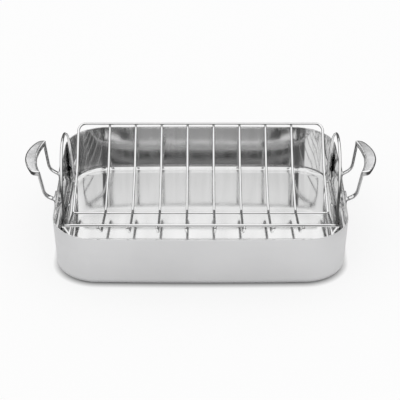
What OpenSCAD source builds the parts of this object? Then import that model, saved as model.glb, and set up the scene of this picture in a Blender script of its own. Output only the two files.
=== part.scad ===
// Roasting pan with two riveted end handles and a lift-out V-shaped wire rack.
// Millimetres, +Z up, origin on the underside at the pan's centre, long side along X, viewer at -Y.

/* [Pan] */
// Overall width of the pan over its rim, along X
pan_width = 425; // [380:1:470]
// Overall depth of the pan over its rim, along Y
pan_depth = 354; // [320:1:400]
// Height of the rim above the underside
pan_height = 77.5; // [65:0.5:95]
// Radius of the plan corners at the rim
corner_radius = 65; // [55:1:80]
// How far the two end walls bow outwards
end_bow = 2.4; // [1:0.1:4]
// How far the two long walls bow outwards
side_bow = 3.8; // [1:0.1:5]
// How far the walls lean inwards from rim to base
wall_draft = 3.5; // [1:0.1:6]
// Thickness of the wall
wall_thickness = 1.6; // [1:0.1:2.4]
// Thickness of the floor
floor_thickness = 3; // [1.5:0.1:4]
// Outside radius between wall and underside
base_radius = 11; // [8:0.5:14]
// Inside radius between wall and floor
floor_radius = 8.5; // [6:0.5:9.5]

/* [Handles] */
// How far each grip reaches out past the rim
handle_reach = 47.8; // [42:0.2:56]
// Height of the top of the grip above the rim
grip_rise = 39.5; // [34:0.5:48]
// Length of the grip along the pan's end
grip_length = 101; // [95:1:112]
// Width of the grip at its middle
grip_width = 18; // [15:0.5:22]
// Thickness of the grip at its inner edge
grip_thickness = 7.7; // [6:0.1:9]
// Thickness of the grip at its outer edge
grip_edge_thickness = 3; // [2:0.1:5]
// Width of the full-thickness band along the grip's inner edge
grip_band = 4; // [2:0.5:6]
// Radius of the grip's outer edge in plan
grip_outer_radius = 87; // [80:1:100]
// Radius of the grip's inner edge in plan
grip_inner_radius = 150; // [130:5:220]
// Radius of the grip's rounded ends
grip_end_radius = 11; // [8:0.5:13]
// Distance of each foot from the handle's middle
foot_spread = 39; // [36:0.5:42]
// Angle at which the legs lean apart from foot to grip
leg_splay = 8.5; // [5:0.5:9]
// Thickness of a leg
leg_thickness = 4.2; // [3:0.1:5]
// Width of a leg along the pan's end
leg_width = 9; // [7:0.5:11]
// Bend radius on the centre line of a leg
leg_bend = 16; // [12:0.5:18]
// Angle at which a leg rises from its foot up to its bend
leg_slope = 29; // [24:0.5:34]
// Distance from the outer end wall to the corner of a leg
leg_reach = 18; // [16:0.5:20]
// Distance from the grip's inner edge in to the middle of a leg
leg_inset = 6; // [5:0.1:7]
// Width of a foot pad along the wall
pad_width = 30; // [26:1:34]
// Height of a foot pad
pad_height = 24; // [20:1:28]
// Thickness of a foot pad
pad_thickness = 3.5; // [2.5:0.1:4.5]
// Corner radius of a foot pad
pad_corner = 6; // [3:0.5:9]
// Depth of a foot pad's middle below the rim
pad_drop = 15.5; // [14.5:0.5:20]
// Height of the start of a leg above the middle of its pad
leg_rise = 0.6; // [0:0.1:3]

/* [Rivets] */
// Diameter of a rivet's shank
rivet_diameter = 5; // [4:0.1:6]
// Distance between the two rivets of a foot
rivet_pitch = 16; // [12:0.5:18]
// Diameter of a rivet's head inside the pan
rivet_head = 10; // [8:0.2:11]
// Height of a rivet's head inside the pan
rivet_dome = 2.2; // [1.5:0.1:3]
// Depth of the rivets below the middle of the pad
rivet_drop = 2; // [0:0.5:4]
// Gap round a rivet's shank in its holes
rivet_clearance = 0.05; // [0.02:0.01:0.1]

/* [Rack] */
// Wire diameter of the rails, end wires and loops
frame_wire = 4.2; // [3.6:0.1:5]
// Wire diameter of the cross wires and the centre wire
cross_wire = 3.5; // [3:0.1:4]
// Distance from the rim to the rack's end wires
rack_end_gap = 20.5; // [19.5:0.5:28]
// Distance from the rim to the rack's rails, with the rack in the middle
rack_side_gap = 19; // [16:0.5:26]
// How far the rack stands towards the front of the pan
rack_forward = 13; // [4:0.5:15]
// Gap between the rack's feet and the pan floor
rest_gap = 0.3; // [0.2:0.05:0.5]
// Height of the rails above the feet
rail_height = 94.5; // [85:0.5:105]
// Height of the outer bends above the feet
bend_height = 49; // [44:0.5:54]
// Height of the middle of the V above the feet
valley_height = 26.6; // [22:0.2:30]
// Distance of the outer bends from the middle of the V
bend_spread = 99.5; // [94:0.5:106]
// Radius of the bends in the wires
wire_bend = 9; // [6:0.5:12]
// Radius of the frame's four corners
frame_corner = 12; // [9:0.5:16]
// Length of the straight end of a rail below its frame corner, where it meets the end wire
frame_stub = 3; // [1:0.5:8]
// Distance from an end wire to the nearest cross wire
end_bay = 49; // [42:0.5:56]
// How far a cross wire runs past the rail that it is welded to
wire_past = 2.4; // [1:0.1:4]

/* [Loops] */
// Height of the top of a loop above the feet
loop_height = 150.4; // [142:0.2:158]
// How much wider a loop is at its foot than the radius of its top, on each side
loop_flare_width = 11.5; // [9.5:0.5:17.5]
// Radius of the loop's top
loop_top_radius = 78.5; // [74:0.5:82]
// Height above the feet at which the loop's sides start to lean in
loop_shoulder = 24; // [22:1:40]
// Radius where the loop's sides start to lean in
loop_side_radius = 40; // [30:1:50]
// Radius of the loop's foot corners
loop_foot_radius = 15; // [10:0.5:20]
// Angle at which a loop leans outwards
loop_lean = 3.25; // [1:0.25:4]

/* [Hidden] */
// smoothness of round shapes
$fn = 96;
// number of flat steps in each long wall, end wall, plan corner and fillet
side_count = 8;
end_count = 8;
corner_count = 12;
foot_count = 6;
// number of sides of a wire, and the largest turn of one step of its bends
wire_sides = 16;
bend_step = 9;
// gap between a part riveted to the wall and the wall
seat_gap = 0.03;
// depth by which cuts run past the faces that they open
overrun = 2;
// number of cross wires in the rack
cross_count = 8;
// angles of half a turn and a quarter turn
half_turn = 180;
quarter_turn = 90;

// pan plan: the walls are arcs of four large circles, joined by four corner arcs
half_width = pan_width / 2;
half_depth = pan_depth / 2;
end_arc = (half_depth * half_depth + end_bow * end_bow) / (2 * end_bow);
side_arc = (half_width * half_width + side_bow * side_bow) / (2 * side_bow);
end_centre = half_width - end_arc;
side_centre = half_depth - side_arc;
side_reach = side_arc - corner_radius;
end_reach = end_arc - corner_radius;
arc_gap = sqrt(end_centre * end_centre + side_centre * side_centre);
arc_foot = (side_reach * side_reach - end_reach * end_reach + arc_gap * arc_gap) / (2 * arc_gap);
arc_rise = sqrt(side_reach * side_reach - arc_foot * arc_foot);
corner_x = (end_centre * arc_foot - side_centre * arc_rise) / arc_gap;
corner_y = side_centre + (-side_centre * arc_foot - end_centre * arc_rise) / arc_gap;
side_turn = atan2(corner_x, corner_y - side_centre);
end_turn = atan2(corner_y, corner_x - end_centre);

// pan section: the wall leans by this angle
wall_angle = atan2(wall_draft, pan_height);
wall_run = wall_thickness / cos(wall_angle);

// handle places
pad_z = pan_height - pad_drop;
leg_z = pad_z + leg_rise;
grip_top = pan_height + grip_rise;
grip_bottom = grip_top - grip_thickness;
grip_outer_x = half_width + handle_reach;
grip_inner_x = grip_outer_x - grip_width;
grip_end = grip_length / 2;
wall_x = half_width - wall_draft * (pan_height - leg_z) / pan_height;
corner_leg_x = wall_x + leg_reach;
corner_leg_z = leg_z + leg_reach * tan(leg_slope);
leg_top_x = grip_inner_x - leg_inset;
leg_top_z = leg_z + (grip_bottom + grip_thickness / 2 - leg_z) / cos(leg_splay);
grip_centre_x = grip_outer_x - grip_outer_radius;
end_round_y = grip_end - grip_end_radius;
end_round_reach = grip_outer_radius - grip_end_radius;
end_round_x = grip_centre_x + sqrt(end_round_reach * end_round_reach - end_round_y * end_round_y);
end_round_turn = atan2(end_round_y, end_round_x - grip_centre_x);
band_x = grip_inner_x + grip_band;

// rack places
frame_leg = frame_corner + frame_stub;
feet_z = floor_thickness + rest_gap;
end_x = half_width - rack_end_gap;
rail_y = half_depth - rack_side_gap;
rail_z = feet_z + rail_height;
bend_height_z = feet_z + bend_height;
valley_z = feet_z + valley_height;
centre_z = valley_z - cross_wire;
cross_step = 2 * (end_x - end_bay) / (cross_count - 1);
frame_slope = atan2(rail_z - bend_height_z, rail_y - bend_spread);
floor_slope = atan2(bend_height_z - centre_z, bend_spread);
cross_floor_slope = atan2(bend_height_z - valley_z, bend_spread);
valley_lift = wire_bend * (1 / cos(cross_floor_slope) - 1);
end_valley_lift = wire_bend * (1 / cos(floor_slope) - 1);
rail_distance = norm([rail_y - bend_spread, rail_z - bend_height_z]);
weld_distance = (frame_wire + cross_wire) / 2;
cross_slope = frame_slope - asin(weld_distance / rail_distance);
cross_run = sqrt(rail_distance * rail_distance - weld_distance * weld_distance) + wire_past;

// loop places
foot_z = feet_z + frame_wire / 2;
loop_half = loop_top_radius + loop_flare_width;
top_centre_z = feet_z + loop_height - frame_wire / 2 - loop_top_radius;
side_corner_z = feet_z + loop_shoulder;
side_drop = top_centre_z - side_corner_z;
side_angle = acos(loop_top_radius / norm([loop_half, side_drop])) - atan2(side_drop, loop_half);
apex_z = top_centre_z + loop_top_radius / sin(side_angle);
valley_line_z = centre_z - end_valley_lift;
floor_rise = (bend_height_z - valley_line_z) / bend_spread;
cross_height = (valley_line_z + floor_rise * apex_z * tan(side_angle)) / (1 + floor_rise * tan(side_angle));
loop_x = end_x + frame_wire / cos(loop_lean) - (cross_height - foot_z) * tan(loop_lean);

steel = [0.8, 0.8, 0.81];
bright_steel = [0.88, 0.88, 0.89];
wire_steel = [0.9, 0.9, 0.9];

// the stations of the rim: centre, radius and angle of each point of its eight arcs, anticlockwise
function arc_stations(centre, radius, from_angle, sweep, count) =
    [for (i = [0 : count - 1]) [centre.x, centre.y, radius, from_angle + sweep * i / count]];
corner_sweep = quarter_turn - side_turn - end_turn;
function corner_stations(x, y, from_angle) =
    arc_stations([x, y], corner_radius, from_angle, corner_sweep, corner_count);
stations = [
    each arc_stations([end_centre, 0], end_arc, -end_turn, 2 * end_turn, end_count),
    each corner_stations(corner_x, corner_y, end_turn),
    each arc_stations([0, side_centre], side_arc, quarter_turn - side_turn, 2 * side_turn, side_count),
    each corner_stations(-corner_x, corner_y, quarter_turn + side_turn),
    each arc_stations([-end_centre, 0], end_arc, half_turn - end_turn, 2 * end_turn, end_count),
    each corner_stations(-corner_x, -corner_y, half_turn + end_turn),
    each arc_stations([0, -side_centre], side_arc, -quarter_turn - side_turn, 2 * side_turn, side_count),
    each corner_stations(corner_x, -corner_y, side_turn - quarter_turn)
];

// a wall face's points with its round foot, as distance in from the rim and height, from the bottom up
function wall_face(inset, bottom, foot) =
    let (
        face = inset / cos(wall_angle),
        centre = face + (pan_height - bottom - foot) * tan(wall_angle) + foot / cos(wall_angle)
    )
    [
        for (i = [0 : foot_count])
            let (angle = quarter_turn + (wall_angle - quarter_turn) * i / foot_count)
            [centre - foot * cos(angle), bottom + foot - foot * sin(angle)],
        [face, pan_height]
    ];
inner_face = wall_face(wall_thickness, floor_thickness, floor_radius);
pan_profile = [
    each wall_face(0, 0, base_radius),
    for (i = [len(inner_face) - 1 : -1 : 0]) inner_face[i]
];

// the pan's sheet: the profile carried round all stations, closed by the underside and the floor
module pan_sheet() {
    around = len(stations);
    rows = len(pan_profile);
    polyhedron(
        points = [
            for (row = pan_profile, at = stations)
                [at[0] + (at[2] - row.x) * cos(at[3]), at[1] + (at[2] - row.x) * sin(at[3]), row.y]
        ],
        faces = [
            [for (j = [0 : around - 1]) j],
            for (i = [0 : rows - 2], j = [0 : around - 1])
                [
                    i * around + j,
                    (i + 1) * around + j,
                    (i + 1) * around + (j + 1) % around,
                    i * around + (j + 1) % around
                ],
            [for (j = [around - 1 : -1 : 0]) (rows - 1) * around + j]
        ]
    );
}

// puts a piece on the right end wall's outer face, at a distance along the wall and a height
module on_end_wall(y, z) {
    translate([end_centre, 0, 0])
        rotate([0, 0, asin(y / end_arc)])
        translate([end_arc - (pan_height - z) * tan(wall_angle), 0, z])
        rotate([0, wall_angle, 0])
        children();
}

// repeats a piece at each rivet of the right end wall
module at_rivets() {
    for (side = [-1, 1], step = [-1, 1])
        on_end_wall(side * foot_spread + step * rivet_pitch / 2, pad_z - rivet_drop)
        children();
}

// a hole through the end wall and the pad, made from the wall's outer face
module rivet_hole() {
    rotate([0, quarter_turn, 0])
        translate([0, 0, -wall_thickness - overrun])
        cylinder(d = rivet_diameter + 2 * rivet_clearance, h = wall_thickness + pad_thickness + 2 * overrun);
}

module pan_body() {
    color(bright_steel)
    difference() {
        pan_sheet();
        for (end = [0, 1])
            mirror([end, 0, 0])
            at_rivets()
            rivet_hole();
    }
}

function heading_of(from, to) = atan2(to.y - from.y, to.x - from.x);
function wrapped(turn) =
    turn > half_turn ? turn - 2 * half_turn : turn < -half_turn ? turn + 2 * half_turn : turn;

// the points of a round corner between three points
function round_corner(before, corner, after, radius) =
    let (
        heading = heading_of(before, corner),
        turn = wrapped(heading_of(corner, after) - heading),
        hand = sign(turn),
        start = corner - radius * tan(abs(turn) / 2) * [cos(heading), sin(heading)],
        centre = start + hand * radius * [-sin(heading), cos(heading)],
        steps = max(2, ceil(abs(turn) / bend_step))
    )
    [
        for (i = [0 : steps])
            let (angle = heading - hand * quarter_turn + turn * i / steps)
            centre + radius * [cos(angle), sin(angle)]
    ];

// an open path with round corners, and a closed one with its own radius at each corner
function open_path(points, radius) = [
    points[0],
    for (i = [1 : len(points) - 2]) each round_corner(points[i - 1], points[i], points[i + 1], radius),
    points[len(points) - 1]
];
function closed_path(points, radii) = [
    for (i = [0 : len(points) - 1])
        each round_corner(
            points[(i + len(points) - 1) % len(points)],
            points[i],
            points[(i + 1) % len(points)],
            radii[i]
        )
];

// the sideways direction at a point of a path, longer at a mitre
function mitre(path, i, closed) =
    let (
        last = len(path) - 1,
        before = i > 0 ? path[i - 1] : closed ? path[last] : path[0] - (path[1] - path[0]),
        after = i < last ? path[i + 1] : closed ? path[0] : path[last] + (path[last] - path[last - 1]),
        heading = heading_of(before, path[i]),
        turn = wrapped(heading_of(path[i], after) - heading),
        middle = heading + turn / 2
    )
    [-sin(middle), cos(middle)] / cos(turn / 2);

// a bar along a path; its section lists how far each point lies sideways and upwards
module bar(path, section, closed = false) {
    rings = len(path);
    sides = len(section);
    across = [for (i = [0 : rings - 1]) mitre(path, i, closed)];
    polyhedron(
        points = [
            for (i = [0 : rings - 1], point = section)
                let (place = path[i] + point.x * across[i])
                [place.x, place.y, point.y]
        ],
        faces = [
            if (!closed) [for (k = [0 : sides - 1]) k],
            for (i = [0 : closed ? rings - 1 : rings - 2], k = [0 : sides - 1])
                [
                    i * sides + k,
                    (i + 1) % rings * sides + k,
                    (i + 1) % rings * sides + (k + 1) % sides,
                    i * sides + (k + 1) % sides
                ],
            if (!closed) [for (k = [sides - 1 : -1 : 0]) (rings - 1) * sides + k]
        ]
    );
}

// the section of a round wire
function round_section(diameter) = [
    for (k = [0 : wire_sides - 1])
        let (angle = (k + 1 / 2) * 2 * half_turn / wire_sides)
        diameter / 2 * [cos(angle), sin(angle)]
];

// the section of a flat bar with round edges, as thick and as wide as given
function flat_section(thickness, width) = [
    for (end = [0, 1], k = [0 : wire_sides / 2])
        let (
            angle = end * half_turn + k * 2 * half_turn / wire_sides,
            shift = (1 - 2 * end) * (width - thickness) / 2
        )
        [thickness / 2 * cos(angle), thickness / 2 * sin(angle) + shift]
];

// a foot pad's outline, with round corners
module pad_outline() {
    for (turn = [0, 1])
        square([
            turn == 0 ? pad_height : pad_height - 2 * pad_corner,
            turn == 0 ? pad_width - 2 * pad_corner : pad_width
        ], center = true);
    for (side = [-1, 1], level = [-1, 1])
        translate([level * (pad_height / 2 - pad_corner), side * (pad_width / 2 - pad_corner)])
        circle(r = pad_corner);
}

// a foot pad on the wall with the leg that rises from it to the grip
module foot(side) {
    difference() {
        on_end_wall(side * foot_spread, pad_z)
            rotate([0, quarter_turn, 0])
            translate([0, 0, seat_gap])
            linear_extrude(height = pad_thickness)
            pad_outline();
        at_rivets()
            rivet_hole();
    }
    translate([0, side * foot_spread, leg_z])
        rotate([-side * leg_splay, 0, 0])
        translate([0, 0, -leg_z])
        rotate([quarter_turn, 0, 0])
        bar(open_path([
            [wall_x + pad_thickness / 2, leg_z + pad_thickness / 2 * tan(leg_slope)],
            [corner_leg_x, corner_leg_z],
            [leg_top_x, leg_top_z]
        ], leg_bend), flat_section(leg_thickness, leg_width));
}

// the grip from above: a slice of a disc with round ends, hollowed by a larger disc
module grip_plan() {
    fan_x = grip_centre_x + 2 * grip_outer_radius * cos(end_round_turn);
    fan_y = 2 * grip_outer_radius * sin(end_round_turn);
    difference() {
        union() {
            intersection() {
                translate([grip_centre_x, 0])
                    circle(r = grip_outer_radius);
                polygon([[grip_centre_x, 0], [fan_x, -fan_y], [fan_x, fan_y]]);
            }
            for (side = [-1, 1])
                translate([end_round_x, side * end_round_y])
                circle(r = grip_end_radius);
        }
        translate([grip_inner_x - grip_inner_radius, 0])
            circle(r = grip_inner_radius);
    }
}

// the grip, thick along its inner edge and thin along its outer edge
module grip() {
    intersection() {
        translate([0, 0, grip_bottom])
            linear_extrude(height = grip_thickness)
            grip_plan();
        translate([0, grip_length, 0])
            rotate([quarter_turn, 0, 0])
            linear_extrude(height = 2 * grip_length)
            polygon([
                [half_width, grip_bottom],
                [band_x, grip_bottom],
                [grip_outer_x, grip_top - grip_edge_thickness],
                [grip_outer_x + overrun, grip_top - grip_edge_thickness],
                [grip_outer_x + overrun, grip_top],
                [half_width, grip_top]
            ]);
    }
}

module handle() {
    color(steel) {
        grip();
        for (side = [-1, 1])
            foot(side);
    }
}

module right_handle() {
    handle();
}

module left_handle() {
    mirror([1, 0, 0])
        handle();
}

// a low dome that ends on the plane x = 0
module dome(diameter, height) {
    ball = (diameter * diameter / 4 + height * height) / (2 * height);
    rotate([0, -quarter_turn, 0])
        intersection() {
            translate([0, 0, height - ball])
                sphere(r = ball);
            cylinder(d = 2 * diameter, h = 2 * height);
        }
}

module rivets() {
    color(bright_steel)
    for (end = [0, 1])
        mirror([end, 0, 0])
        at_rivets() {
            rotate([0, quarter_turn, 0])
                translate([0, 0, -wall_thickness - rivet_dome / 2])
                cylinder(d = rivet_diameter, h = wall_thickness + pad_thickness + rivet_dome / 2);
            translate([-wall_thickness - seat_gap, 0, 0])
                dome(rivet_head, rivet_dome);
        }
}

// stands a wire drawn in depth and height on its end, at a place along X
module upright(x) {
    translate([x, -rack_forward, 0])
        rotate([quarter_turn, 0, quarter_turn])
        children();
}

// a rail with its two frame corners, in the slanted plane of the rack's side
module rail(side) {
    color(wire_steel)
    translate([0, -rack_forward, 0])
        mirror([0, side, 0])
        translate([0, rail_y, rail_z])
        rotate([frame_slope, 0, 0])
        bar(open_path([
            [-end_x, -frame_leg],
            [-end_x, 0],
            [end_x, 0],
            [end_x, -frame_leg]
        ], frame_corner), round_section(frame_wire));
}

module back_rail() {
    rail(0);
}

module front_rail() {
    rail(1);
}

module end_wire() {
    color(wire_steel)
    upright(end_x)
        bar(open_path([
            [frame_leg * cos(frame_slope) - rail_y, rail_z - frame_leg * sin(frame_slope)],
            [-bend_spread, bend_height_z],
            [0, valley_line_z],
            [bend_spread, bend_height_z],
            [rail_y - frame_leg * cos(frame_slope), rail_z - frame_leg * sin(frame_slope)]
        ], wire_bend), round_section(frame_wire));
}

module right_end_wire() {
    end_wire();
}

module left_end_wire() {
    mirror([1, 0, 0])
        end_wire();
}

module cross_wire_at(number) {
    tip_y = bend_spread + cross_run * cos(cross_slope);
    tip_z = bend_height_z + cross_run * sin(cross_slope);
    color(wire_steel)
    upright((number - (cross_count + 1) / 2) * cross_step)
        bar(open_path([
            [-tip_y, tip_z],
            [-bend_spread, bend_height_z],
            [0, valley_z - valley_lift],
            [bend_spread, bend_height_z],
            [tip_y, tip_z]
        ], wire_bend), round_section(cross_wire));
}

module cross_wire_1() { cross_wire_at(1); }
module cross_wire_2() { cross_wire_at(2); }
module cross_wire_3() { cross_wire_at(3); }
module cross_wire_4() { cross_wire_at(4); }
module cross_wire_5() { cross_wire_at(5); }
module cross_wire_6() { cross_wire_at(6); }
module cross_wire_7() { cross_wire_at(7); }
module cross_wire_8() { cross_wire_at(8); }

module centre_wire() {
    color(wire_steel)
    translate([frame_wire / 2 - end_x, -rack_forward, centre_z])
        rotate([0, quarter_turn, 0])
        cylinder(d = cross_wire, h = 2 * end_x - frame_wire);
}

// a closed loop in a plane that leans outwards from its foot
module loop() {
    color(wire_steel)
    translate([loop_x, -rack_forward, foot_z])
        rotate([0, loop_lean, 0])
        translate([0, 0, -foot_z])
        rotate([quarter_turn, 0, quarter_turn])
        bar(closed_path([
            [loop_half, foot_z],
            [loop_half, side_corner_z],
            [0, apex_z],
            [-loop_half, side_corner_z],
            [-loop_half, foot_z]
        ], [loop_foot_radius, loop_side_radius, loop_top_radius, loop_side_radius, loop_foot_radius]),
        round_section(frame_wire), true);
}

module right_loop() {
    loop();
}

module left_loop() {
    mirror([1, 0, 0])
        loop();
}

pan_body();
left_handle();
right_handle();
rivets();
back_rail();
front_rail();
left_end_wire();
right_end_wire();
cross_wire_1();
cross_wire_2();
cross_wire_3();
cross_wire_4();
cross_wire_5();
cross_wire_6();
cross_wire_7();
cross_wire_8();
centre_wire();
left_loop();
right_loop();
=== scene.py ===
"""Dresses the roasting pan: satin outside, mirror inside, cast handles, bright wire rack."""

import math

import bpy
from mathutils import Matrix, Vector


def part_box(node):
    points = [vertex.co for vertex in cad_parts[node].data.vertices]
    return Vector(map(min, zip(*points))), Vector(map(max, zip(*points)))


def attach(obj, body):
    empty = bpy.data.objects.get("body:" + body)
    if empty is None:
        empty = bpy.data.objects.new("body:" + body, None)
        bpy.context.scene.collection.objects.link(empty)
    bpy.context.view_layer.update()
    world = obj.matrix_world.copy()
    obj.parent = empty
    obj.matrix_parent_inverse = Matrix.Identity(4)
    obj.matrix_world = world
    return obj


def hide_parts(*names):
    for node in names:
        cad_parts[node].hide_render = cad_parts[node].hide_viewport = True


bl_info = {
    "name": "Roasting pan dresser",
    "version": (1, 0, 0),
    "blender": (4, 5, 0),
    "location": "3D View > Sidebar > Roasting pan",
    "description": "Models the visible surfaces of a roasting pan and its wire rack",
    "category": "Object",
}

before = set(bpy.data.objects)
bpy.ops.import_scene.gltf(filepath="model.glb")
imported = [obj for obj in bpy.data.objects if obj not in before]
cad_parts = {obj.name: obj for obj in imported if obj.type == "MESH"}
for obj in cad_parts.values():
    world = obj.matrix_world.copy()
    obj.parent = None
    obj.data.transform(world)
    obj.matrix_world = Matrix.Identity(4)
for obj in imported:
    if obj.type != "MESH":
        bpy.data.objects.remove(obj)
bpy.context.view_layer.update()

# the CAD nodes that are dressed alike
CROSS_WIRES = ["cross_wire_%d" % n for n in range(1, 9)]
FRAME_WIRES = ["back_rail", "front_rail", "left_end_wire", "right_end_wire"]
LOOPS = ["left_loop", "right_loop"]
HANDLES = ["left_handle", "right_handle"]

# where the rack's wires touch, in metres: depths and heights on each cross wire, and places on the right
# end wire, which are mirrored on the left one
CROSS_WELDS = [(-0.0131, 0.0282), (0.1461, 0.0961), (-0.1722, 0.0961)]
END_WELDS = [(0.1899, -0.0128, 0.0266), (0.1941, 0.0451, 0.0485), (0.1941, -0.1189, 0.0485)]

# a piece copied from the CAD: points nearer than this many metres are one, and facets this flat are joined
MERGE_DISTANCE = 0.00001
FLAT_ANGLE = math.radians(0.05)

# the pan's mesh: an edge on the rim that is longer than this runs along it, because the sheet is thinner;
# the border inset into its level faces, in metres; and how much large faces count in its shading
RIM_EDGE = 0.003
FLOOR_BORDER = 0.004
FACE_WEIGHT = 100

# how far a normal points up on the pan's level faces, and at least on its floor, on its inner walls and on
# any other face that belongs to the polished inside
LEVEL = 0.999
FLOOR_UPWARD = 0.9
WALL_UPWARD = -0.05
UPWARD = 0.3

# the steps of a rounded edge, and the angles from which an edge stays sharp on the rivets and the wires
ROUND_STEPS = 3
RIVET_CREASE = math.radians(35)
WIRE_CREASE = math.radians(50)

# how strongly each pass smooths a casting
CAST_SMOOTHING = 0.5

# a weld bead: how finely its ball is divided, its unevenness as a share of its width and the seed of it, and
# how strongly and how often it is smoothed
BEAD_DIVISIONS = 3
BEAD_UNEVEN_SHARE = 1 / 30
BEAD_SEED = 4
BEAD_SMOOTHING = 0.5
BEAD_PASSES = 2

# the pan's finishes, in the order of its material slots
OUTSIDE, INNER_WALL, INNER_FLOOR = range(3)

# the inner wall's pressed shape: the height about which it curves in metres, its curvature, how steeply it
# twists, the distance from the middle at which the twist is full, and how late it sets in
CURVE_HEIGHT = 0.0248
CURVE = 0.556
TWIST = 0.023
TWIST_END = 0.15
TWIST_POWER = 6

# noises, each as its scale, its detail and its stretch along x, y and z
EVEN = (1, 1, 1)
BRUSHING = (900, 2, (0.02, 0.02, 1))
SATIN_PATCHES = (9, 3, EVEN)
WALL_STREAKS = (110, 3, (1, 1, 0.07))
WALL_WAVES = (12, 2, EVEN)
FLOOR_WIPES = (45, 3, (1, 0.12, 1))
FLOOR_WAVES = (9, 2, EVEN)
CAST_GRAIN = (1400, 3, EVEN)
CAST_PATCHES = (55, 3, EVEN)
DRAW_MARKS = (700, 2, (1, 0.05, 0.05))
WIRE_PATCHES = (40, 2, EVEN)

# the part of a noise's range that is spread over a roughness, and the part over which a tint turns
SPREAD_RANGE = (0.3, 0.7)
TINT_RANGE = (0.35, 0.65)

# how far a finish goes below and above its roughness
SATIN_SPREAD = (-0.04, 0.05)
WALL_SPREAD = (-0.02, 0.04)
FLOOR_SPREAD = (-0.02, 0.03)
CAST_SPREAD = (-0.05, 0.08)
WIRE_SPREAD = (-0.04, 0.05)

# by what share a finish is darker in places
SATIN_TINT = 0.05
WALL_TINT = 0.06
FLOOR_TINT = 0.03
CAST_TINT = 0.12
WIRE_TINT = 0.05

# bumps, each as its distance in metres and its strength; the pressed shape is in metres already
BRUSHING_BUMP = (0.00002, 0.35)
SATIN_PATCH_BUMP = (0.0004, 0.1)
PRESSED_BUMP = (1, 1)
WALL_STREAK_BUMP = (0.0002, 0.2)
WALL_WAVE_BUMP = (0.002, 0.1)
FLOOR_WAVE_BUMP = (0.001, 0.1)
FLOOR_WIPE_BUMP = (0.00005, 0.2)
CAST_PATCH_BUMP = (0.0003, 0.15)
CAST_GRAIN_BUMP = (0.00003, 0.25)
DRAW_MARK_BUMP = (0.00002, 0.3)
WIRE_PATCH_BUMP = (0.0002, 0.1)

# painted shade on the sides of wires and castings: how far up a normal points where it is darkest, and how
# far from that the painted shade starts to fade and has gone
WIRE_SIDE_SHADE = (0.08, 0.1, 0.42)
CAST_SIDE_SHADE = (0.05, 0.15, 0.5)

# a Mix node's colour sockets, which share their names with its sockets for numbers
MIX_COLOUR_A = 6
MIX_COLOUR_B = 7
MIX_COLOUR_RESULT = 2

# the floor's width in metres, its dullness, and its brightness beyond the white sheet, as metal mirrors it
FLOOR_WIDTH = 16
FLOOR_DULLNESS = 0.85
FAR_FLOOR = 0.1

# the studio that metal mirrors: brightness of its parts, and the directions, as parts of a unit vector, at
# which they start and end; room is what lies between them, and the walls turn from front to back at the sides
ROOM = 0.1
PLAIN_WHITE = 1.0
FRONT_TO_BACK = (-0.2, 0.2)
FRONT_BANDS = [
    (0.0, 0.1),
    (0.24, 0.1),
    (0.28, 0.4),
    (0.346, 0.4),
    (0.352, 0.2),
    (0.361, 0.14),
    (0.364, 0.0),
    (0.391, 0.0),
    (0.394, 0.42),
    (0.408, 0.42),
    (0.411, 0.0),
    (0.43, 0.0),
]
BAND_EDGE = (0.045, 0.062)
FRONT_CEILING = [(0.4, 0.8), (0.55, 0.84), (0.75, 1.02), (1.0, 1.0)]
FRONT_CEILING_EDGE = (0.45, 0.47)
CARD_GREY = 0.42
CARD_EDGE = (0.048, 0.065)
CARD_FOOT = (0.24, 0.34)
BACK_CEILING = [(0.4, 1.06), (0.75, 1.04), (1.0, 1.0)]
BACK_CEILING_EDGE = (0.484, 0.5)
WINDOW_WHITE = 0.9
WINDOW_SILL = (0.2, 0.3)
WINDOW_EDGE = (0.5, 0.56)

# upright panels on each side: where each one starts and ends sideways, and where its top lies; two are dark,
# and one is white, stands over its foot and is what the tops of the handles mirror
FRONT_FLAG = ((0.09, 0.11), (0.28, 0.33), (0.74, 0.8))
BACK_FLAG = ((0.19, 0.21), (0.3, 0.35), (0.56, 0.6))
SIDE_CARD = ((0.103, 0.112), (0.17, 0.19), (0.5, 0.52))
SIDE_CARD_FOOT = (0.434, 0.46)
SIDE_CARD_WHITE = 0.97

# the camera's sensor in millimetres, how far its picture is shifted, and the farthest it sees in metres
SENSOR_WIDTH = 36
SHIFT_X = -0.0015
SHIFT_Y = 0.0595
FARTHEST = 50


# settings


class PanSettings(bpy.types.PropertyGroup):
    """Sizes and colours of the pan's own surfaces"""

    rim_round: bpy.props.FloatProperty(
        name="Rim rounding",
        description="Radius of the two edges of the rim",
        default=0.00055,
        unit="LENGTH",
    )
    outside_colour: bpy.props.FloatVectorProperty(
        name="Outside",
        description="Colour of the satin outside",
        default=(0.71, 0.71, 0.715),
        subtype="COLOR",
    )
    outside_roughness: bpy.props.FloatProperty(
        name="Outside roughness",
        description="How dull the satin outside is",
        default=0.34,
        subtype="FACTOR",
    )
    inside_colour: bpy.props.FloatVectorProperty(
        name="Inside",
        description="Colour of the polished inside",
        default=(0.88, 0.88, 0.88),
        subtype="COLOR",
    )
    wall_roughness: bpy.props.FloatProperty(
        name="Inner wall roughness",
        description="How dull the inner wall is",
        default=0.045,
        subtype="FACTOR",
    )
    floor_roughness: bpy.props.FloatProperty(
        name="Inner floor roughness",
        description="How dull the inner floor is",
        default=0.09,
        subtype="FACTOR",
    )


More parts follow.
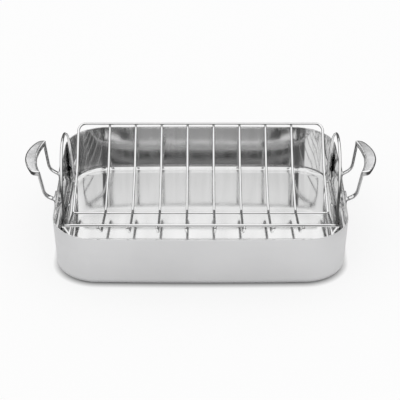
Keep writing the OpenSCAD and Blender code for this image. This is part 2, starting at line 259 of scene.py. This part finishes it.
class HandleSettings(bpy.types.PropertyGroup):
    """Sizes and colours of the cast handles and their rivets"""

    skin: bpy.props.FloatProperty(
        name="Cast skin",
        description="Cell size of the remeshed casting",
        default=0.0007,
        unit="LENGTH",
    )
    soften: bpy.props.IntProperty(
        name="Softening",
        description="How often the casting's edges are smoothed",
        default=24,
    )
    colour: bpy.props.FloatVectorProperty(
        name="Handle",
        description="Colour of the cast handles",
        default=(0.97, 0.97, 0.975),
        subtype="COLOR",
    )
    # the colour of the painted shade along the casting's sides
    sides: bpy.props.FloatVectorProperty(
        name="Handle sides",
        description="Colour along the casting's sides",
        default=(0.48, 0.48, 0.48),
        subtype="COLOR",
    )
    roughness: bpy.props.FloatProperty(
        name="Handle roughness",
        description="How dull the cast handles are",
        default=0.1,
        subtype="FACTOR",
    )


class RackSettings(bpy.types.PropertyGroup):
    """Sizes and colours of the wire rack"""

    tip_round: bpy.props.FloatProperty(
        name="Wire tip rounding",
        description="Radius of the edge of a wire's cut end",
        default=0.0008,
        unit="LENGTH",
    )
    weld_size: bpy.props.FloatProperty(
        name="Weld size",
        description="Width of a weld bead between two wires",
        default=0.004,
        unit="LENGTH",
    )
    colour: bpy.props.FloatVectorProperty(
        name="Wire",
        description="Colour of the bright wire",
        default=(0.93, 0.93, 0.93),
        subtype="COLOR",
    )
    # the colour of the painted shade along the wire's sides
    sides: bpy.props.FloatVectorProperty(
        name="Wire sides",
        description="Colour along the wire's sides",
        default=(0.3, 0.3, 0.3),
        subtype="COLOR",
    )
    roughness: bpy.props.FloatProperty(
        name="Wire roughness",
        description="How dull the bright wire is",
        default=0.06,
        subtype="FACTOR",
    )


class StageSettings(bpy.types.PropertyGroup):
    """The floor, the light and the camera"""

    camera_distance: bpy.props.FloatProperty(
        name="Camera distance",
        description="Distance from the camera to the origin",
        default=2.217,
        unit="LENGTH",
    )
    camera_elevation: bpy.props.FloatProperty(
        name="Camera elevation",
        description="Height angle of the camera",
        default=math.radians(30.44),
        subtype="ANGLE",
    )
    camera_lens: bpy.props.FloatProperty(
        name="Lens",
        description="Focal length in millimetres",
        default=130.86,
        unit="CAMERA",
    )
    floor_colour: bpy.props.FloatVectorProperty(
        name="Floor",
        description="Colour of the pale floor",
        default=(0.98, 0.98, 0.98),
        subtype="COLOR",
    )
    # the glow is darkened only by the painted shade at the pan's foot
    floor_glow: bpy.props.FloatProperty(
        name="Floor glow",
        description="Share of the floor's white that no shadow dims",
        default=0.8,
        subtype="FACTOR",
    )
    mirrored_glow: bpy.props.FloatProperty(
        name="Mirrored glow",
        description="The same share as the metal mirrors it",
        default=0.25,
        subtype="FACTOR",
    )
    sheet_edge: bpy.props.FloatVectorProperty(
        name="Sheet edge",
        description="Where the white sheet ends on each side, as the metal mirrors it",
        size=2,
        default=(0.31, 0.42),
        unit="LENGTH",
    )
    sheet_back: bpy.props.FloatVectorProperty(
        name="Sheet back",
        description="Where the white sheet ends behind, as the metal mirrors it",
        size=2,
        default=(0.45, 0.6),
        unit="LENGTH",
    )
    # how far the painted shade at the pan's foot reaches
    contact_reach: bpy.props.FloatProperty(
        name="Contact shadow",
        description="How far the dark line at the pan's foot reaches",
        default=0.01,
        unit="LENGTH",
    )


# node helpers


def new_material(name):
    """A metal material; returns it with its node tree and its shader."""
    material = bpy.data.materials.new(name)
    material.use_nodes = True
    shader = material.node_tree.nodes["Principled BSDF"]
    shader.inputs["Metallic"].default_value = 1.0
    return material, material.node_tree, shader


def feed(tree, target, value):
    """Sets an input to a number, or links a socket to it."""
    if isinstance(value, (int, float)):
        target.default_value = value
    else:
        tree.links.new(value, target)


def combined(tree, operation, first, second):
    """Works a sum on two values, each a number or a socket; returns its output socket."""
    node = tree.nodes.new("ShaderNodeMath")
    node.operation = operation
    feed(tree, node.inputs[0], first)
    feed(tree, node.inputs[1], second)
    return node.outputs["Value"]


def absolute(tree, value):
    """A value without its sign; returns its output socket."""
    return combined(tree, "ABSOLUTE", value, 0)


def product(tree, first, second):
    """Two values multiplied; returns its output socket."""
    return combined(tree, "MULTIPLY", first, second)


def blended(tree, factor, first, second):
    """Mixes two brightnesses, each a number or a socket; returns its output socket."""
    node = tree.nodes.new("ShaderNodeMix")
    tree.links.new(factor, node.inputs["Factor"])
    feed(tree, node.inputs["A"], first)
    feed(tree, node.inputs["B"], second)
    return node.outputs["Result"]


def smooth_step(tree, value, low, high):
    """Nought at one value, one at the other and smooth between; returns its output socket."""
    step = tree.nodes.new("ShaderNodeMapRange")
    step.interpolation_type = "SMOOTHSTEP"
    step.inputs["From Min"].default_value = low
    step.inputs["From Max"].default_value = high
    tree.links.new(value, step.inputs["Value"])
    return step.outputs["Result"]


def brightness_ramp(tree, value, stops):
    """Brightness that follows a socket through (value, brightness) stops; returns its output socket."""
    ramp = tree.nodes.new("ShaderNodeValToRGB")
    elements = ramp.color_ramp.elements
    elements[0].position = stops[0][0]
    elements[1].position = stops[-1][0]
    for position, _ in stops[1:-1]:
        elements.new(position)
    for element, (position, level) in zip(elements, stops):
        element.color = (level, level, level, 1)
    tree.links.new(value, ramp.inputs["Fac"])
    return ramp.outputs["Color"]


def parts_of(tree, vector):
    """The x, y and z of a vector's socket, as output sockets."""
    split = tree.nodes.new("ShaderNodeSeparateXYZ")
    tree.links.new(vector, split.inputs["Vector"])
    return split.outputs["X"], split.outputs["Y"], split.outputs["Z"]


def coordinates(tree, kind):
    """The x, y and z of one kind of texture coordinate, as output sockets."""
    return parts_of(tree, tree.nodes.new("ShaderNodeTexCoord").outputs[kind])


def noise_value(tree, scale, detail, stretch):
    """A noise on Object coordinates, stretched along the axes; returns its output socket."""
    place = tree.nodes.new("ShaderNodeTexCoord")
    mapping = tree.nodes.new("ShaderNodeMapping")
    mapping.inputs["Scale"].default_value = stretch
    noise = tree.nodes.new("ShaderNodeTexNoise")
    noise.inputs["Scale"].default_value = scale
    noise.inputs["Detail"].default_value = detail
    tree.links.new(place.outputs["Object"], mapping.inputs["Vector"])
    tree.links.new(mapping.outputs["Vector"], noise.inputs["Vector"])
    return noise.outputs["Fac"]


def roughen(tree, shader, noise, roughness, spread):
    """Lets a noise vary a shader's roughness by so much below and above its setting."""
    ranged = tree.nodes.new("ShaderNodeMapRange")
    ranged.inputs["From Min"].default_value = SPREAD_RANGE[0]
    ranged.inputs["From Max"].default_value = SPREAD_RANGE[1]
    ranged.inputs["To Min"].default_value = roughness + spread[0]
    ranged.inputs["To Max"].default_value = roughness + spread[1]
    tree.links.new(noise, ranged.inputs["Value"])
    tree.links.new(ranged.outputs["Result"], shader.inputs["Roughness"])


def tinted(tree, noise, colour, share):
    """Mixes a colour with a darker one of itself by a noise; returns its output socket."""
    ramp = tree.nodes.new("ShaderNodeValToRGB")
    dark, light = ramp.color_ramp.elements
    dark.position, light.position = TINT_RANGE
    dark.color = tuple(c * (1 - share) for c in colour) + (1,)
    light.color = tuple(colour) + (1,)
    tree.links.new(noise, ramp.inputs["Fac"])
    return ramp.outputs["Color"]


def paint_side_shade(tree, colour, shade_colour, levels):
    """Paints shade into a colour where a surface faces sideways, darkest where its normal lies near level;
    returns its output socket.
    """
    level, start, end = levels
    geometry = tree.nodes.new("ShaderNodeNewGeometry")
    upward = parts_of(tree, geometry.outputs["Normal"])[2]
    tilt = absolute(tree, combined(tree, "SUBTRACT", upward, level))
    mix = tree.nodes.new("ShaderNodeMix")
    mix.data_type = "RGBA"
    tree.links.new(smooth_step(tree, tilt, start, end), mix.inputs["Factor"])
    mix.inputs[MIX_COLOUR_A].default_value = tuple(shade_colour) + (1,)
    tree.links.new(colour, mix.inputs[MIX_COLOUR_B])
    return mix.outputs[MIX_COLOUR_RESULT]


def bumped(tree, shader, *heights):
    """Chains bumps, each a height socket with its distance and strength, onto a shader."""
    normal = None
    for height, (distance, strength) in heights:
        bump = tree.nodes.new("ShaderNodeBump")
        bump.inputs["Distance"].default_value = distance
        bump.inputs["Strength"].default_value = strength
        tree.links.new(height, bump.inputs["Height"])
        if normal:
            tree.links.new(normal, bump.inputs["Normal"])
        normal = bump.outputs["Normal"]
    tree.links.new(normal, shader.inputs["Normal"])


# materials


def satin_material(settings):
    """Satin outside: fine level brushing over broad dull patches."""
    material, tree, shader = new_material("satin_outside")
    brushing = noise_value(tree, *BRUSHING)
    patches = noise_value(tree, *SATIN_PATCHES)
    roughen(tree, shader, brushing, settings.outside_roughness, SATIN_SPREAD)
    colour = tinted(tree, patches, settings.outside_colour, SATIN_TINT)
    tree.links.new(colour, shader.inputs["Base Color"])
    bumped(tree, shader, (brushing, BRUSHING_BUMP), (patches, SATIN_PATCH_BUMP))
    return material


def pressed_shape(tree):
    """How far the pressed wall stands off a straight one, in metres: it curves from rim to floor and twists
    towards the corners; returns its output socket."""
    x, _, z = coordinates(tree, "Object")
    height = combined(tree, "SUBTRACT", z, CURVE_HEIGHT)
    curve = product(tree, product(tree, height, height), -CURVE)
    share = combined(tree, "DIVIDE", combined(tree, "MINIMUM", absolute(tree, x), TWIST_END), TWIST_END)
    twist = product(tree, combined(tree, "POWER", share, TWIST_POWER), z)
    return combined(tree, "ADD", curve, product(tree, twist, TWIST))


def polished_wall_material(settings):
    """Polished inner wall: upright polishing streaks over the slow waviness of the pressed sheet."""
    material, tree, shader = new_material("polished_wall")
    streaks = noise_value(tree, *WALL_STREAKS)
    waves = noise_value(tree, *WALL_WAVES)
    roughen(tree, shader, streaks, settings.wall_roughness, WALL_SPREAD)
    colour = tinted(tree, streaks, settings.inside_colour, WALL_TINT)
    tree.links.new(colour, shader.inputs["Base Color"])
    pressed = (pressed_shape(tree), PRESSED_BUMP)
    bumped(tree, shader, pressed, (streaks, WALL_STREAK_BUMP), (waves, WALL_WAVE_BUMP))
    return material


def polished_floor_material(settings):
    """Polished inner floor: near mirror, with faint wipe marks."""
    material, tree, shader = new_material("polished_floor")
    wipes = noise_value(tree, *FLOOR_WIPES)
    waves = noise_value(tree, *FLOOR_WAVES)
    roughen(tree, shader, wipes, settings.floor_roughness, FLOOR_SPREAD)
    colour = tinted(tree, waves, settings.inside_colour, FLOOR_TINT)
    tree.links.new(colour, shader.inputs["Base Color"])
    bumped(tree, shader, (waves, FLOOR_WAVE_BUMP), (wipes, FLOOR_WIPE_BUMP))
    return material


def cast_material(settings):
    """Cast and polished handle steel with painted shade along its sides: fine grain under a soft polish."""
    material, tree, shader = new_material("cast_steel")
    grain = noise_value(tree, *CAST_GRAIN)
    patches = noise_value(tree, *CAST_PATCHES)
    roughen(tree, shader, patches, settings.roughness, CAST_SPREAD)
    colour = tinted(tree, patches, settings.colour, CAST_TINT)
    # painted shade along the casting's sides, where its surface faces sideways
    colour = paint_side_shade(tree, colour, settings.sides, CAST_SIDE_SHADE)
    tree.links.new(colour, shader.inputs["Base Color"])
    bumped(tree, shader, (patches, CAST_PATCH_BUMP), (grain, CAST_GRAIN_BUMP))
    return material


def wire_material(settings):
    """Bright drawn wire with painted shade along its sides, light draw marks and a little unevenness."""
    material, tree, shader = new_material("bright_wire")
    marks = noise_value(tree, *DRAW_MARKS)
    patches = noise_value(tree, *WIRE_PATCHES)
    roughen(tree, shader, patches, settings.roughness, WIRE_SPREAD)
    colour = tinted(tree, patches, settings.colour, WIRE_TINT)
    # painted shade along the wire's sides, where its surface faces sideways
    colour = paint_side_shade(tree, colour, settings.sides, WIRE_SIDE_SHADE)
    tree.links.new(colour, shader.inputs["Base Color"])
    bumped(tree, shader, (marks, DRAW_MARK_BUMP), (patches, WIRE_PATCH_BUMP))
    return material


# modelling helpers


def only(piece):
    """Makes a piece the one that is selected and active."""
    bpy.ops.object.select_all(action="DESELECT")
    bpy.context.view_layer.objects.active = piece
    piece.select_set(True)


def edit(piece, kind, action="DESELECT"):
    """Opens a piece for editing by its points, edges or faces, with none or all of them selected."""
    only(piece)
    bpy.ops.object.mode_set(mode="EDIT")
    bpy.ops.mesh.select_mode(type=kind)
    bpy.ops.mesh.select_all(action=action)


def finish_edit():
    """Closes the piece that is open for editing."""
    bpy.ops.object.mode_set(mode="OBJECT")


def pick_faces(piece, test):
    """Selects the faces that pass a test, on a piece that is open for editing."""
    finish_edit()
    for face in piece.data.polygons:
        face.select = test(face)
    if not any(face.select for face in piece.data.polygons):
        raise RuntimeError("no faces to select on " + piece.name)
    bpy.ops.object.mode_set(mode="EDIT")


def pick_edges(piece, test):
    """Selects the edges whose two ends pass a test, on a piece that is open for editing."""
    finish_edit()
    mesh = piece.data
    for edge in mesh.edges:
        edge.select = test(*(mesh.vertices[v].co for v in edge.vertices))
    if not any(edge.select for edge in mesh.edges):
        raise RuntimeError("no edges to select on " + piece.name)
    bpy.ops.object.mode_set(mode="EDIT")


def apply_modifier(piece, kind, **values):
    """Adds a modifier to a piece and applies it."""
    only(piece)
    bpy.ops.object.modifier_add(type=kind)
    modifier = piece.modifiers[-1]
    for key, value in values.items():
        setattr(modifier, key, value)
    bpy.ops.object.modifier_apply(modifier=modifier.name)


def piece_from(node, name):
    """A clean piece with the exact size and place of a CAD node, its facets joined up."""
    piece = bpy.data.objects.new(name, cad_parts[node].data.copy())
    bpy.context.scene.collection.objects.link(piece)
    piece.data.materials.clear()
    edit(piece, "VERT", "SELECT")
    bpy.ops.mesh.customdata_custom_splitnormals_clear()
    bpy.ops.mesh.remove_doubles(threshold=MERGE_DISTANCE)
    bpy.ops.mesh.dissolve_limited(angle_limit=FLAT_ANGLE)
    bpy.ops.mesh.normals_make_consistent(inside=False)
    finish_edit()
    return piece


def dress(piece, materials, body, slot, *nodes):
    """Gives a finished piece its materials and its body, and hides the CAD nodes it stands for; the finish
    slot is not used.
    """
    for material in materials:
        piece.data.materials.append(material)
    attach(piece, body)
    if nodes:
        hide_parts(*nodes)


# operators


class ROASTER_OT_pan(bpy.types.Operator):
    """Models the pressed pan with its rounded rim, satin outside and polished inside"""

    bl_idname = "roaster.pan"
    bl_label = "Pan"

    def execute(self, context):
        settings = context.scene.roaster_pan
        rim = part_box("pan_body")[1][2]
        pan = piece_from("pan_body", "pan")
        edit(pan, "EDGE")
        pick_edges(pan, lambda a, b: min(a.z, b.z) > rim - MERGE_DISTANCE and (a - b).xy.length > RIM_EDGE)
        bpy.ops.mesh.bevel(offset=settings.rim_round, segments=ROUND_STEPS, affect="EDGES")
        bpy.ops.mesh.select_mode(type="FACE")
        pick_faces(pan, lambda face: abs(face.normal.z) > LEVEL and face.center.z < rim / 2)
        bpy.ops.mesh.inset(thickness=FLOOR_BORDER, depth=0, use_individual=True)
        finish_edit()
        bpy.ops.object.shade_smooth()
        apply_modifier(pan, "WEIGHTED_NORMAL", mode="FACE_AREA", weight=FACE_WEIGHT)
        inside = [polished_wall_material(settings), polished_floor_material(settings)]
        dress(pan, [satin_material(settings)] + inside, "pan", "pan_steel", "pan_body")
        for face in pan.data.polygons:
            face.material_index = finish_of(face, rim, settings.rim_round)
        return {"FINISHED"}


def finish_of(face, rim, rim_round):
    """Which of the pan's finishes a face has, by its place and normal."""
    inward = face.normal.xy.dot(face.center.xy) < 0
    if face.normal.z > FLOOR_UPWARD and face.center.z < rim / 2:
        return INNER_FLOOR
    if inward and face.normal.z > WALL_UPWARD or face.center.z > rim - rim_round or face.normal.z > UPWARD:
        return INNER_WALL
    return OUTSIDE


class ROASTER_OT_handles(bpy.types.Operator):
    """Models the two cast handles with softened edges"""

    bl_idname = "roaster.handles"
    bl_label = "Handles"

    def execute(self, context):
        settings = context.scene.roaster_handle
        steel = cast_material(settings)
        for node in HANDLES:
            handle = piece_from(node, node + "_casting")
            apply_modifier(handle, "REMESH", mode="VOXEL", voxel_size=settings.skin)
            apply_modifier(handle, "SMOOTH", factor=CAST_SMOOTHING, iterations=settings.soften)
            only(handle)
            bpy.ops.object.shade_smooth()
            dress(handle, [steel], "pan", "handle_steel", node)
        return {"FINISHED"}


class ROASTER_OT_rivets(bpy.types.Operator):
    """Models the domed rivets"""

    bl_idname = "roaster.rivets"
    bl_label = "Rivets"

    def execute(self, context):
        rivets = piece_from("rivets", "handle_rivets")
        only(rivets)
        bpy.ops.object.shade_smooth_by_angle(angle=RIVET_CREASE)
        dress(rivets, [cast_material(context.scene.roaster_handle)], "pan", "handle_steel", "rivets")
        return {"FINISHED"}


class ROASTER_OT_wires(bpy.types.Operator):
    """Models the rack's rails, end wires, cross wires and centre wire, the cross wires with rounded ends"""

    bl_idname = "roaster.wires"
    bl_label = "Rack wires"

    def execute(self, context):
        settings = context.scene.roaster_rack
        steel = wire_material(settings)
        for node in CROSS_WIRES + FRAME_WIRES + ["centre_wire"]:
            wire = piece_from(node, node + "_rod")
            if node in CROSS_WIRES:
                round_tips(wire, settings.tip_round)
            only(wire)
            bpy.ops.object.shade_smooth_by_angle(angle=WIRE_CREASE)
            dress(wire, [steel], "rack", "wire_steel", node)
        return {"FINISHED"}


def round_tips(wire, radius):
    """Rounds the edge of both cut ends of a cross wire, the faces with the most corners."""
    corners = max(len(face.vertices) for face in wire.data.polygons)
    edit(wire, "FACE")
    pick_faces(wire, lambda face: len(face.vertices) == corners)
    bpy.ops.mesh.region_to_loop()
    bpy.ops.mesh.bevel(offset=radius, segments=ROUND_STEPS, affect="EDGES")
    finish_edit()


class ROASTER_OT_loops(bpy.types.Operator):
    """Models the two lifting loops of the rack"""

    bl_idname = "roaster.loops"
    bl_label = "Rack loops"

    def execute(self, context):
        steel = wire_material(context.scene.roaster_rack)
        for node in LOOPS:
            loop = piece_from(node, node + "_rod")
            only(loop)
            bpy.ops.object.shade_smooth_by_angle(angle=WIRE_CREASE)
            dress(loop, [steel], "rack", "wire_steel", node)
        return {"FINISHED"}


class ROASTER_OT_welds(bpy.types.Operator):
    """Models the weld beads where the rack's wires cross"""

    bl_idname = "roaster.welds"
    bl_label = "Weld beads"

    def execute(self, context):
        settings = context.scene.roaster_rack
        places = weld_places()
        beads = [weld_bead(settings.weld_size)]
        for place in places[1:]:
            only(beads[0])
            bpy.ops.object.duplicate()
            beads.append(context.active_object)
        for bead, place in zip(beads, places):
            bead.location = place
            bead.select_set(True)
        bpy.ops.object.transform_apply(location=True, rotation=True, scale=True)
        bpy.ops.object.join()
        welds = context.active_object
        welds.name = "weld_beads"
        only(welds)
        bpy.ops.object.shade_smooth()
        dress(welds, [wire_material(settings)], "rack", "wire_steel")
        return {"FINISHED"}


def weld_places():
    """Every place where two wires of the rack are welded."""
    places = []
    for node in CROSS_WIRES:
        low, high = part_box(node)
        places += [((low[0] + high[0]) / 2, y, z) for y, z in CROSS_WELDS]
    for side in (-1, 1):
        places += [(side * x, y, z) for x, y, z in END_WELDS]
    return places


def weld_bead(size):
    """One slightly uneven weld bead at the origin."""
    bpy.ops.object.select_all(action="DESELECT")
    bpy.ops.mesh.primitive_ico_sphere_add(subdivisions=BEAD_DIVISIONS, radius=size / 2)
    bead = bpy.context.active_object
    edit(bead, "VERT", "SELECT")
    bpy.ops.transform.vertex_random(offset=size * BEAD_UNEVEN_SHARE, seed=BEAD_SEED)
    bpy.ops.mesh.vertices_smooth(factor=BEAD_SMOOTHING, repeat=BEAD_PASSES)
    finish_edit()
    return bead


class ROASTER_OT_stage(bpy.types.Operator):
    """Sets the pale floor, the soft light and the camera"""

    bl_idname = "roaster.stage"
    bl_label = "Stage"

    def execute(self, context):
        settings = context.scene.roaster_stage
        make_floor(settings)
        make_world(context.scene)
        make_camera(context.scene, settings)
        context.scene.view_settings.view_transform = "Standard"
        return {"FINISHED"}


def make_floor(settings):
    """A wide pale floor. The camera sees most of its white as its own glow, so that its shadow stays light,
    with painted shade as a dark line where the pan stands, and metal mirrors a white sheet with a dim floor
    beyond it."""
    bpy.ops.object.select_all(action="DESELECT")
    bpy.ops.mesh.primitive_plane_add(size=FLOOR_WIDTH, location=(0, 0, 0))
    floor = bpy.context.active_object
    floor.name = "floor"
    material, tree, shader = new_material("pale_floor")
    white = tuple(settings.floor_colour) + (1,)
    shader.inputs["Metallic"].default_value = 0
    shader.inputs["Roughness"].default_value = FLOOR_DULLNESS
    shader.inputs["Specular IOR Level"].default_value = 0.0
    shader.inputs["Base Color"].default_value = white
    # painted shade: an ambient occlusion term darkens the glow into a dark line where the pan stands
    painted_contact_shade = tree.nodes.new("ShaderNodeAmbientOcclusion")
    painted_contact_shade.inputs["Distance"].default_value = settings.contact_reach
    painted_contact_shade.inputs["Color"].default_value = white
    glow = tree.nodes.new("ShaderNodeEmission")
    tree.links.new(painted_contact_shade.outputs["Color"], glow.inputs["Color"])
    far_floor = tree.nodes.new("ShaderNodeEmission")
    far_floor.inputs["Color"].default_value = (FAR_FLOOR, FAR_FLOOR, FAR_FLOOR, 1)
    rays = tree.nodes.new("ShaderNodeLightPath")
    seen = product(tree, rays.outputs["Is Camera Ray"], settings.floor_glow)
    mirrored = combined(tree, "ADD", rays.outputs["Is Glossy Ray"], rays.outputs["Is Transmission Ray"])
    mirrored = product(tree, mirrored, settings.mirrored_glow)
    x, y, _ = coordinates(tree, "Object")
    beside = smooth_step(tree, absolute(tree, x), *settings.sheet_edge)
    behind = smooth_step(tree, y, *settings.sheet_back)
    beyond = product(tree, combined(tree, "MAXIMUM", beside, behind), rays.outputs["Is Glossy Ray"])
    sheet = mixed_shaders(tree, combined(tree, "ADD", seen, mirrored), shader, glow)
    surface = mixed_shaders(tree, beyond, sheet, far_floor)
    tree.links.new(surface.outputs[0], tree.nodes["Material Output"].inputs["Surface"])
    floor.data.materials.append(material)


def mixed_shaders(tree, factor, first, second):
    """A node that mixes the shaders of two others."""
    mix = tree.nodes.new("ShaderNodeMixShader")
    tree.links.new(factor, mix.inputs["Fac"])
    tree.links.new(first.outputs[0], mix.inputs[1])
    tree.links.new(second.outputs[0], mix.inputs[2])
    return mix


def make_world(scene):
    """The studio that metal mirrors, with a light ceiling, cards and panels in a dim room and a window on
    the left; every other ray, the camera's too, sees plain white."""
    world = bpy.data.worlds.new("studio")
    scene.world = world
    world.use_nodes = True
    tree = world.node_tree
    x, y, z = coordinates(tree, "Generated")
    side = absolute(tree, x)
    turn = smooth_step(tree, y, *FRONT_TO_BACK)
    walls = blended(tree, turn, front_wall(tree, side, z), back_wall(tree, side, z))
    window = blended(tree, smooth_step(tree, z, *WINDOW_SILL), ROOM, WINDOW_WHITE)
    left = smooth_step(tree, product(tree, x, -1), *WINDOW_EDGE)
    studio = blended(tree, left, walls, window)
    rays = tree.nodes.new("ShaderNodeLightPath")
    light = blended(tree, rays.outputs["Is Glossy Ray"], PLAIN_WHITE, studio)
    tree.links.new(light, tree.nodes["Background"].inputs["Color"])


def front_wall(tree, side, height):
    """The studio in front of the pan, behind the camera; returns its output socket."""
    bands = brightness_ramp(tree, height, FRONT_BANDS)
    wall = blended(tree, smooth_step(tree, side, *BAND_EDGE), bands, ROOM)
    ceiling = brightness_ramp(tree, height, FRONT_CEILING)
    wall = blended(tree, smooth_step(tree, height, *FRONT_CEILING_EDGE), wall, ceiling)
    return blended(tree, panel(tree, side, height, FRONT_FLAG), wall, ROOM)


def back_wall(tree, side, height):
    """The studio behind the pan; returns its output socket."""
    card = blended(tree, smooth_step(tree, side, *CARD_EDGE), CARD_GREY, ROOM)
    card = blended(tree, smooth_step(tree, height, *CARD_FOOT), ROOM, card)
    ceiling = brightness_ramp(tree, height, BACK_CEILING)
    wall = blended(tree, smooth_step(tree, height, *BACK_CEILING_EDGE), card, ceiling)
    wall = blended(tree, panel(tree, side, height, BACK_FLAG), wall, ROOM)
    over_foot = smooth_step(tree, height, *SIDE_CARD_FOOT)
    lit = product(tree, over_foot, panel(tree, side, height, SIDE_CARD))
    return blended(tree, lit, wall, SIDE_CARD_WHITE)


def panel(tree, side, height, edges):
    """One inside an upright panel on each side and nought outside it; returns its output socket."""
    start, end, top = edges
    after_start = smooth_step(tree, side, *start)
    inside = combined(tree, "SUBTRACT", after_start, smooth_step(tree, side, *end))
    below = combined(tree, "SUBTRACT", 1, smooth_step(tree, height, *top))
    return product(tree, inside, below)


def make_camera(scene, settings):
    """The photograph's camera: above the front of the pan."""
    angle = settings.camera_elevation
    place = Vector((0, -math.cos(angle), math.sin(angle))) * settings.camera_distance
    data = bpy.data.cameras.new("camera")
    data.lens = settings.camera_lens
    data.sensor_width = SENSOR_WIDTH
    data.shift_x = SHIFT_X
    data.shift_y = SHIFT_Y
    data.clip_end = FARTHEST
    camera = bpy.data.objects.new("camera", data)
    scene.collection.objects.link(camera)
    camera.location = place
    camera.rotation_euler = (-place).to_track_quat("-Z", "Y").to_euler()
    scene.camera = camera


class ROASTER_PT_panel(bpy.types.Panel):
    """Lists the steps that dress the roasting pan"""

    bl_idname = "ROASTER_PT_panel"
    bl_label = "Roasting pan"
    bl_space_type = "VIEW_3D"
    bl_region_type = "UI"
    bl_category = "Roasting pan"

    def draw(self, context):
        for operator in OPERATORS:
            self.layout.operator(operator.bl_idname)
        for group in SETTINGS:
            box = self.layout.box()
            for name in SETTINGS[group].__annotations__:
                box.prop(getattr(context.scene, group), name)


OPERATORS = [
    ROASTER_OT_pan,
    ROASTER_OT_handles,
    ROASTER_OT_rivets,
    ROASTER_OT_wires,
    ROASTER_OT_loops,
    ROASTER_OT_welds,
    ROASTER_OT_stage,
]
SETTINGS = {
    "roaster_pan": PanSettings,
    "roaster_handle": HandleSettings,
    "roaster_rack": RackSettings,
    "roaster_stage": StageSettings,
}
CLASSES = list(SETTINGS.values()) + OPERATORS + [ROASTER_PT_panel]


def register():
    for item in CLASSES:
        bpy.utils.register_class(item)
    for group, kind in SETTINGS.items():
        setattr(bpy.types.Scene, group, bpy.props.PointerProperty(type=kind))


def unregister():
    for group in SETTINGS:
        delattr(bpy.types.Scene, group)
    for item in reversed(CLASSES):
        bpy.utils.unregister_class(item)


def main():
    register()
    bpy.ops.roaster.pan()
    bpy.ops.roaster.handles()
    bpy.ops.roaster.rivets()
    bpy.ops.roaster.wires()
    bpy.ops.roaster.loops()
    bpy.ops.roaster.welds()
    bpy.ops.roaster.stage()


if __name__ == "__main__":
    main()
